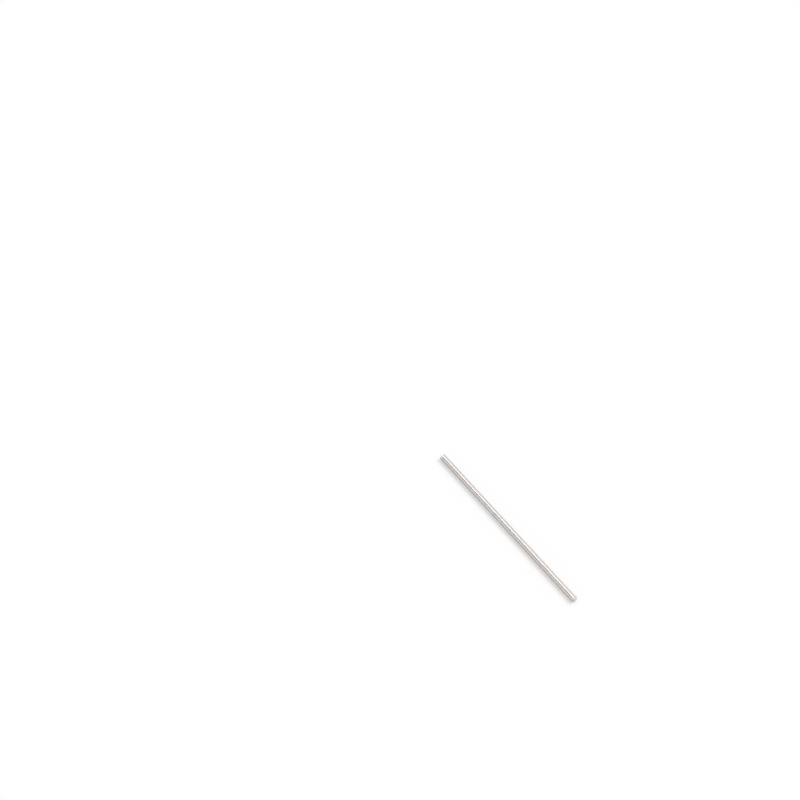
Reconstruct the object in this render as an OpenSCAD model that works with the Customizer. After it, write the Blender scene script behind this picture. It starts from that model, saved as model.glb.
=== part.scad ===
// Glass capillary tube: a short length of drawn thick-walled glass tubing with one straight
// bore, cut square at both ends and lightly fire-polished. It lies on its side, along X,
// resting on z = 0 with its middle over the origin. All sizes are in millimetres.

/* [Tube] */
// Length over both ends
tube_length = 32; // [20:0.5:75]
// Outside diameter of the drawn glass
tube_d = 0.9; // [0.8:0.05:2]
// Diameter of the bore, which sets the volume that the tube takes up
bore_d = 0.446; // [0.1:0.002:0.54]

/* [Fire-polished ends] */
// Radius that the flame leaves on the outer edge of each end
outer_edge_r = 0.11; // [0.02:0.01:0.16]
// Radius that the flame leaves on each mouth of the bore
bore_edge_r = 0.055; // [0.01:0.005:0.11]

/* [Hidden] */
$fn = 96;
tube_r = tube_d / 2;
bore_r = bore_d / 2;

// A corner of the wall's section: a bead of radius r that touches both faces of the wall at
// distance x from the axis and the end face at height y.
module edge_bead(x, y, r) {
    translate([x, y]) circle(r);
}

// A strip of the wall's section, between two distances from the axis, that stops short of
// both end faces by the same setback.
module wall_strip(inner, outer, setback) {
    translate([inner, setback]) square([outer - inner, tube_length - 2 * setback]);
}

// Section through one side of the wall: the axis is the line x = 0 and the tube stands on
// y = 0. Only the middle strip reaches the end faces, and a bead rounds each of the four
// corners.
module wall_section() {
    bore_side = bore_r + bore_edge_r;
    outer_side = tube_r - outer_edge_r;
    wall_strip(bore_side, outer_side, 0);
    wall_strip(bore_r, bore_side, bore_edge_r);
    wall_strip(outer_side, tube_r, outer_edge_r);
    for (end = [0, 1]) {
        toward_middle = 1 - 2 * end;
        edge_bead(bore_side, end * tube_length + toward_middle * bore_edge_r, bore_edge_r);
        edge_bead(outer_side, end * tube_length + toward_middle * outer_edge_r, outer_edge_r);
    }
}

// The whole tube is the wall's section turned once about the bore, then laid along X.
module capillary_tube() {
    color([0.86, 0.90, 0.91, 0.5])
        translate([-tube_length / 2, 0, tube_r])
            rotate([0, 90, 0])
                rotate_extrude() wall_section();
}

capillary_tube();
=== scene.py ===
"""Looks of the glass capillary tube: clear drawn glass lying on a white table, under one large
soft light. Everything is in metres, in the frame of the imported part: the tube lies along X,
rests on z = 0 and has its middle over the origin."""

import math

import bpy
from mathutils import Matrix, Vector


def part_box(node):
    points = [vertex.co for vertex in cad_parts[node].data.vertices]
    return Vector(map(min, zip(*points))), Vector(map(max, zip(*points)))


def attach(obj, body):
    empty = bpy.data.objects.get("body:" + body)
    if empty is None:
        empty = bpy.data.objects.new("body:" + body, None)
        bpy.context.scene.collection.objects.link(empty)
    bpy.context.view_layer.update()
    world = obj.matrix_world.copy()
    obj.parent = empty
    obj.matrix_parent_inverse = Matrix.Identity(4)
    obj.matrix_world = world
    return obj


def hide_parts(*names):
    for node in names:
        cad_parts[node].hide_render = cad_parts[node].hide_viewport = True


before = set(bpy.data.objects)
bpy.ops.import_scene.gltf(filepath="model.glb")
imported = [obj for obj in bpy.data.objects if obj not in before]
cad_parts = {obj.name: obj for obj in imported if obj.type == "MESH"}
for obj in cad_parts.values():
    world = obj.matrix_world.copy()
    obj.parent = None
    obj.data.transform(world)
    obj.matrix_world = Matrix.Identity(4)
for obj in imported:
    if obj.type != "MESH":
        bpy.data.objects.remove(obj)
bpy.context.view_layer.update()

TUBE_NODE = "capillary_tube"
MM = 0.001

# The wall's own sizes, as in the part's source.
BORE_R = 0.223 * MM
OUTER_EDGE_R = 0.11 * MM
BORE_EDGE_R = 0.055 * MM

# How finely the tube is turned.
SIDES = 192
EDGE_STEPS = 10
BODY_STEPS = 64

# The camera looks down at the table from where the photographer stood. Azimuth 0 looks along
# +Y, and the elevation is above the table.
CAMERA_AZIMUTH = math.radians(55.48)
CAMERA_ELEVATION = math.radians(48.0)
CAMERA_DISTANCE = 0.3755
CAMERA_AIM = Vector((-0.02903, 0.00144, 0.0))
CAMERA_LENS = 113.0
SENSOR_WIDTH = 36.0
CLIP_START = 0.01
CLIP_END = 10.0

# One large soft lamp, high up on the right of the camera, gives the table this share of its
# light, with a strength that makes up for its slant. The rest comes from all round.
KEY_SHARE = 0.68
KEY_ANGLE = math.radians(45)
KEY_ELEVATION = math.radians(58)
KEY_TURN = math.radians(75)
KEY_STRENGTH = math.pi * KEY_SHARE / math.sin(KEY_ELEVATION)
FILL = (1 - KEY_SHARE, 1 - KEY_SHARE, 1 - KEY_SHARE, 1)
WHITE = (1, 1, 1, 1)

# The room that the glass mirrors and bends, by the angle in degrees up from the near side and
# round the tube's length: white walls low down, a dark gap over the near side, and a long soft
# box overhead that fades towards the far side. Each stop is an angle and the level there.
HALF_TURN = 180
ROOM_TINT = (1.0, 0.975, 0.955)
ROOM_STOPS = (
    (0, 1.0),
    (20, 1.5),
    (32, 1.25),
    (52, 0.2),
    (72, 0.1),
    (88, 2.2),
    (106, 2.8),
    (140, 1.0),
    (160, 1.0),
    (170, 0.5),
    (HALF_TURN, 1.0),
)
ROOM_PEAK = max(level for angle, level in ROOM_STOPS)

# Between these shares the surface turns from its sides to its top.
UPWARD_SPAN = (0.0, 0.6)

# The top of the outer surface has a coat of a high index: it mirrors a dim box as strongly as
# bare glass mirrors a very bright one, and with less grain. The lower sides have none, and
# keep the dark edges of bare glass.
IOR = 1.473
COAT_IOR = 3.0
# What a ray keeps at one crossing of the surface, met square on and met along the surface. The
# shader tints a crossing by the root of its colour, so the colour is squared.
GLASS_FACE = (1.0, 0.98, 0.97, 1)
GLASS_EDGE = (0.02, 0.01, 0.005, 1)
GLASS_POWER = 1.1
TINT_GAMMA = 2.0
# The same for light on its way to the table, which goes straight through.
SHADE_FACE = (0.95, 0.94, 0.93, 1)
SHADE_EDGE = (0.43, 0.41, 0.40, 1)
SHADE_POWER = 1.0
# A ray that has met more surfaces than this is trapped in the wall, and is let out of it.
TRAPPED_DEPTH = 5.5
# With this blend, Facing goes evenly from 0, seen square on, to 1, seen along the surface.
EVEN_BLEND = 0.5

# Fine detail: lines along the tube from its drawing, a little dust, and grit on the flat ends.
# The scales are repeats of the noise in a metre along X, Y and Z, and a detail is how many
# finer layers lie over it. The lines and the dust come in as their noise crosses these spans.
LINE_SCALE = (50, 11000, 11000)
LINE_DETAIL = 3
LINE_SPAN = (0.55, 0.8)
LINE_ROUGHNESS = 0.03
LINE_HEIGHT = 0.0008 * MM
DUST_SCALE = (2500, 2500, 2500)
DUST_DETAIL = 4
DUST_SPAN = (0.62, 0.75)
DUST_ROUGHNESS = 0.08

# Where the surface turns to face along the tube by these shares, it is first the lip that goes
# round an end. Its colour there is painted shade, dark below and with the least share of that
# darkness on top, standing in for the contact shadow that the lip would mirror.
LIP_SPAN = (0.05, 0.35)
LIP_PAINTED_SHADE = (0.08, 0.075, 0.07, 1)
LEAST_LIP_SHADE = 0.2
# Then it is the end's flat face, which is cloudy: wholly where the grit is thick, and by the
# least share between.
FACE_SPAN = (0.8, 0.97)
FACE_COLOUR = (0.95, 0.94, 0.93, 1)
FACE_ROUGHNESS = 0.3
GRIT_SCALE = (32000, 32000, 32000)
GRIT_DETAIL = 2
GRIT_SPAN = (0.3, 0.6)
LEAST_GRIT = 0.85

# The white table. The lift is added to what the camera and the glass see of it, so it comes out
# white there, and keeps the tube's shadow.
FLOOR_RADIUS = 3.0
FLOOR_SIDES = 96
FLOOR_COLOUR = (0.90, 0.90, 0.90, 1)
FLOOR_LIFT = 0.10
# Fewer diffuse bounces than this is none.
FIRST_BOUNCE = 0.5


def add_object(name, verts, faces):
    mesh = bpy.data.meshes.new(name)
    mesh.from_pydata(verts, [], faces)
    mesh.update()
    thing = bpy.data.objects.new(name, mesh)
    bpy.context.scene.collection.objects.link(thing)
    return thing


def arc(centre_x, centre_r, radius, start, end, steps):
    """Points (x, distance from the axis) on an arc of the wall's section."""
    points = []
    for step in range(steps + 1):
        angle = math.radians(start + (end - start) * step / steps)
        points.append((centre_x + radius * math.cos(angle), centre_r + radius * math.sin(angle)))
    return points


def wall_section(half_length, outer_r):
    """The closed outline of one side of the wall, as (x, distance from the axis)."""
    outer_x = half_length - OUTER_EDGE_R
    outer_y = outer_r - OUTER_EDGE_R
    bore_x = half_length - BORE_EDGE_R
    bore_y = BORE_R + BORE_EDGE_R
    section = arc(-outer_x, outer_y, OUTER_EDGE_R, 180, 90, EDGE_STEPS)
    for step in range(1, BODY_STEPS):
        section.append((-outer_x + 2 * outer_x * step / BODY_STEPS, outer_r))
    section += arc(outer_x, outer_y, OUTER_EDGE_R, 90, 0, EDGE_STEPS)
    section += arc(bore_x, bore_y, BORE_EDGE_R, 0, -90, EDGE_STEPS)
    for step in range(1, BODY_STEPS):
        section.append((bore_x - 2 * bore_x * step / BODY_STEPS, BORE_R))
    section += arc(-bore_x, bore_y, BORE_EDGE_R, -90, -180, EDGE_STEPS)
    return section


def turned_tube(name, section, axis_height):
    """The section turned round the bore's axis, which lies along X at axis_height."""
    verts = []
    for side in range(SIDES):
        angle = 2 * math.pi * side / SIDES
        for x, radius in section:
            verts.append((x, radius * math.sin(angle), axis_height + radius * math.cos(angle)))
    count = len(section)
    faces = []
    for side in range(SIDES):
        here = side * count
        there = (side + 1) % SIDES * count
        for i in range(count):
            j = (i + 1) % count
            faces.append((here + i, here + j, there + j, there + i))
    tube = add_object(name, verts, faces)
    for polygon in tube.data.polygons:
        polygon.use_smooth = True
    return tube


def connect(tree, socket, value):
    """Gives an input a socket to read, or a number or colour of its own."""
    if isinstance(value, bpy.types.NodeSocket):
        tree.links.new(value, socket)
    else:
        socket.default_value = value


def add_node(tree, kind, inputs, **settings):
    """A shader node with its settings, and its inputs by name or number."""
    made = tree.nodes.new("ShaderNode" + kind)
    for name, value in settings.items():
        setattr(made, name, value)
    for name, value in inputs.items():
        connect(tree, made.inputs[name], value)
    return made


def reckon(tree, operation, first, second=0.0, third=0.0):
    """Arithmetic on numbers or sockets, as one Math node."""
    numbers = {0: first, 1: second, 2: third}
    return add_node(tree, "Math", numbers, operation=operation).outputs[0]


def reckon_vector(tree, operation, first, second=(0, 0, 0)):
    """The same on vectors. It gives all the outputs, because a length is under Value."""
    return add_node(tree, "VectorMath", {0: first, 1: second}, operation=operation).outputs


def soft_step(tree, value, span, ends):
    """A number that goes smoothly from one of the ends to the other as value crosses span."""
    inputs = {
        "Value": value,
        "From Min": span[0],
        "From Max": span[1],
        "To Min": ends[0],
        "To Max": ends[1],
    }
    return add_node(tree, "MapRange", inputs, interpolation_type="SMOOTHSTEP").outputs["Result"]


def mix_colours(tree, share, first, second):
    """The first colour where share is 0, and the second where it is 1."""
    return add_node(tree, "MixRGB", {"Fac": share, "Color1": first, "Color2": second}).outputs[0]


def by_facing(tree, face, edge, power):
    """A colour that goes from face, seen square on, to edge, seen along the surface."""
    facing = add_node(tree, "LayerWeight", {"Blend": EVEN_BLEND}).outputs["Facing"]
    return mix_colours(tree, reckon(tree, "POWER", facing, power), face, edge)


def new_material(name):
    """A material, its tree, which is empty but for the output, and the output's Surface."""
    material = bpy.data.materials.new(name)
    material.use_nodes = True
    material.node_tree.nodes.clear()
    output = add_node(material.node_tree, "OutputMaterial", {})
    return material, material.node_tree, output.inputs["Surface"]


def noise(tree, place, scale, detail):
    """Noise from 0 to 1 over places in metres, with its own scale along each axis."""
    scaled = reckon_vector(tree, "MULTIPLY", place, scale)["Vector"]
    inputs = {"Vector": scaled, "Scale": 1.0, "Detail": detail}
    return add_node(tree, "TexNoise", inputs).outputs[0]


def coat_share(tree, place, upward, outer_r):
    """1 where a ray meets the top of the outer wall from outside, less towards its lower sides,
    and 0 in the bore and inside the wall."""
    from_axis = reckon_vector(tree, "SUBTRACT", place, (0, 0, outer_r))["Vector"]
    across = reckon_vector(tree, "MULTIPLY", from_axis, (0, 1, 1))["Vector"]
    radius = reckon_vector(tree, "LENGTH", across)["Value"]
    outer = reckon(tree, "GREATER_THAN", radius, outer_r - OUTER_EDGE_R)
    inside = add_node(tree, "NewGeometry", {}).outputs["Backfacing"]
    outside = reckon(tree, "MULTIPLY", outer, reckon(tree, "SUBTRACT", 1.0, inside))
    on_top = soft_step(tree, upward, UPWARD_SPAN, (0.0, 1.0))
    return reckon(tree, "MULTIPLY", outside, on_top)


def drawn_glass(tree, outer_r):
    """The shader of clear glass with its fine detail, for a tube of this outer radius."""
    coords = add_node(tree, "TexCoord", {}).outputs
    place = coords["Object"]
    lines = noise(tree, place, LINE_SCALE, LINE_DETAIL)
    dust = noise(tree, place, DUST_SCALE, DUST_DETAIL)
    grit = noise(tree, place, GRIT_SCALE, GRIT_DETAIL)
    normal = add_node(tree, "SeparateXYZ", {0: coords["Normal"]}).outputs
    endward = reckon(tree, "ABSOLUTE", normal["X"])
    lip = soft_step(tree, endward, LIP_SPAN, (0.0, 1.0))
    face = soft_step(tree, endward, FACE_SPAN, (0.0, 1.0))
    bare_lip = reckon(tree, "MULTIPLY", lip, reckon(tree, "SUBTRACT", 1.0, face))
    # Painted shade on the lip, darkest below, standing in for the contact shadow it would
    # mirror.
    below = soft_step(tree, normal["Z"], UPWARD_SPAN, (1.0, LEAST_LIP_SHADE))
    painted_lip_shade = reckon(tree, "MULTIPLY", bare_lip, below)
    cloud = reckon(tree, "MULTIPLY", face, soft_step(tree, grit, GRIT_SPAN, (LEAST_GRIT, 1.0)))
    line_roughness = soft_step(tree, lines, LINE_SPAN, (0.0, LINE_ROUGHNESS))
    dust_roughness = soft_step(tree, dust, DUST_SPAN, (0.0, DUST_ROUGHNESS))
    wall_roughness = reckon(tree, "ADD", line_roughness, dust_roughness)
    face_roughness = reckon(tree, "MULTIPLY", cloud, FACE_ROUGHNESS)
    crossing = by_facing(tree, GLASS_FACE, GLASS_EDGE, GLASS_POWER)
    squared = {"Color": crossing, "Gamma": TINT_GAMMA}
    wall_colour = add_node(tree, "Gamma", squared).outputs[0]
    with_painted_lip_shade = mix_colours(tree, painted_lip_shade, wall_colour, LIP_PAINTED_SHADE)
    relief = add_node(tree, "Bump", {"Height": lines, "Strength": 1.0, "Distance": LINE_HEIGHT})
    inputs = {
        "Base Color": mix_colours(tree, cloud, with_painted_lip_shade, FACE_COLOUR),
        "Roughness": reckon(tree, "MAXIMUM", wall_roughness, face_roughness),
        "IOR": IOR,
        "Transmission Weight": reckon(tree, "SUBTRACT", 1.0, cloud),
        "Coat Weight": coat_share(tree, place, normal["Z"], outer_r),
        "Coat Roughness": 0.0,
        "Coat IOR": COAT_IOR,
        "Normal": relief.outputs[0],
    }
    return add_node(tree, "BsdfPrincipled", inputs).outputs[0]


def glass_material(outer_r):
    """Glass that bends what is seen in it. The light for the table goes straight through it,
    with a tint, and trapped rays do so without one."""
    material, tree, surface = new_material("drawn_glass")
    glass = drawn_glass(tree, outer_r)
    path = add_node(tree, "LightPath", {}).outputs
    to_table = reckon(tree, "MAXIMUM", path["Is Shadow Ray"], path["Is Diffuse Ray"])
    trapped = reckon(tree, "GREATER_THAN", path["Ray Depth"], TRAPPED_DEPTH)
    unbent = reckon(tree, "MAXIMUM", to_table, trapped)
    shade = by_facing(tree, SHADE_FACE, SHADE_EDGE, SHADE_POWER)
    tint = mix_colours(tree, to_table, WHITE, shade)
    straight = add_node(tree, "BsdfTransparent", {"Color": tint}).outputs[0]
    mixed = add_node(tree, "MixShader", {0: unbent, 1: glass, 2: straight}).outputs[0]
    connect(tree, surface, mixed)
    return material


def seen_in_glass(tree, path):
    """1 for what the camera sees in the glass or through it, and 0 for anything else."""
    through = reckon(tree, "MAXIMUM", path["Is Glossy Ray"], path["Is Transmission Ray"])
    unscattered = reckon(tree, "LESS_THAN", path["Diffuse Depth"], FIRST_BOUNCE)
    return reckon(tree, "MULTIPLY", through, unscattered)


def floor_material():
    material, tree, surface = new_material("white_table")
    path = add_node(tree, "LightPath", {}).outputs
    seen = reckon(tree, "MAXIMUM", path["Is Camera Ray"], seen_in_glass(tree, path))
    lift = reckon(tree, "MULTIPLY", seen, FLOOR_LIFT)
    diffuse = add_node(tree, "BsdfDiffuse", {"Color": FLOOR_COLOUR}).outputs[0]
    glow = add_node(tree, "Emission", {"Strength": lift}).outputs[0]
    connect(tree, surface, add_node(tree, "AddShader", {0: diffuse, 1: glow}).outputs[0])
    return material


def make_floor():
    """A wide round table top."""
    verts = []
    for side in range(FLOOR_SIDES):
        angle = 2 * math.pi * side / FLOOR_SIDES
        verts.append((FLOOR_RADIUS * math.cos(angle), FLOOR_RADIUS * math.sin(angle), 0.0))
    floor = add_object("white_table", verts, [tuple(range(FLOOR_SIDES))])
    floor.data.materials.append(floor_material())


def room_colour(tree):
    """The room's light by the angle round the tube's length, up from the near side."""
    toward = add_node(tree, "TexCoord", {}).outputs["Generated"]
    parts = add_node(tree, "SeparateXYZ", {0: toward}).outputs
    nearward = reckon(tree, "MULTIPLY", parts["Y"], -1.0)
    angle = reckon(tree, "ARCTAN2", parts["Z"], nearward)
    ramp = add_node(tree, "ValToRGB", {"Fac": reckon(tree, "DIVIDE", angle, math.pi)})
    stops = ramp.color_ramp.elements
    while len(stops) < len(ROOM_STOPS):
        stops.new(1.0)
    for stop, (degrees, level) in zip(stops, ROOM_STOPS):
        stop.position = degrees / HALF_TURN
        stop.color = [level / ROOM_PEAK * part for part in ROOM_TINT] + [1]
    return ramp.outputs["Color"]


def make_world():
    """White where the camera sees it, the room where the glass does, and the fill otherwise."""
    world = bpy.data.worlds.new("studio")
    bpy.context.scene.world = world
    world.use_nodes = True
    tree = world.node_tree
    tree.nodes.clear()
    path = add_node(tree, "LightPath", {}).outputs
    in_glass = seen_in_glass(tree, path)
    backdrop = mix_colours(tree, path["Is Camera Ray"], FILL, WHITE)
    colour = mix_colours(tree, in_glass, backdrop, room_colour(tree))
    strength = reckon(tree, "MULTIPLY_ADD", in_glass, ROOM_PEAK - 1, 1.0)
    background = add_node(tree, "Background", {"Color": colour, "Strength": strength})
    output = add_node(tree, "OutputWorld", {})
    connect(tree, output.inputs["Surface"], background.outputs[0])


def direction(azimuth, elevation):
    """The way to go at an azimuth, 0 along +Y and turning from there to -X, and an elevation."""
    level = math.cos(elevation)
    return Vector((-math.sin(azimuth) * level, math.cos(azimuth) * level, math.sin(elevation)))


def make_key_light():
    """The lamp for the table and the shadow. The glass has the room to mirror instead."""
    data = bpy.data.lights.new("key", "SUN")
    data.energy = KEY_STRENGTH
    data.angle = KEY_ANGLE
    lamp = bpy.data.objects.new("key", data)
    bpy.context.scene.collection.objects.link(lamp)
    lamp.visible_glossy = False
    lamp.visible_transmission = False
    toward = direction(CAMERA_AZIMUTH - KEY_TURN, KEY_ELEVATION)
    lamp.rotation_mode = "QUATERNION"
    lamp.rotation_quaternion = toward.to_track_quat("Z", "Y")
    lamp.location = toward * CAMERA_DISTANCE


def make_camera():
    """The photograph's camera. CAMERA_AIM is in the middle of the frame, and the tube lies to
    the right of it and below."""
    data = bpy.data.cameras.new("camera")
    data.lens = CAMERA_LENS
    data.sensor_width = SENSOR_WIDTH
    data.clip_start = CLIP_START
    data.clip_end = CLIP_END
    camera = bpy.data.objects.new("camera", data)
    bpy.context.scene.collection.objects.link(camera)
    back = direction(CAMERA_AZIMUTH + math.pi, CAMERA_ELEVATION)
    camera.location = CAMERA_AIM + back * CAMERA_DISTANCE
    camera.rotation_mode = "QUATERNION"
    camera.rotation_quaternion = (-back).to_track_quat("-Z", "Y")
    bpy.context.scene.camera = camera


def make_tube():
    """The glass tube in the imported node's place, with its length and outer radius."""
    low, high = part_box(TUBE_NODE)
    half_length = (high.x - low.x) / 2
    outer_r = (high.z - low.z) / 2
    tube = turned_tube("glass_tube", wall_section(half_length, outer_r), outer_r)
    tube.data.materials.append(glass_material(outer_r))
    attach(tube, "root")
    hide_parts(TUBE_NODE)


make_camera()
make_world()
make_key_light()
make_floor()
make_tube()

bpy.context.scene.view_settings.view_transform = "Standard"
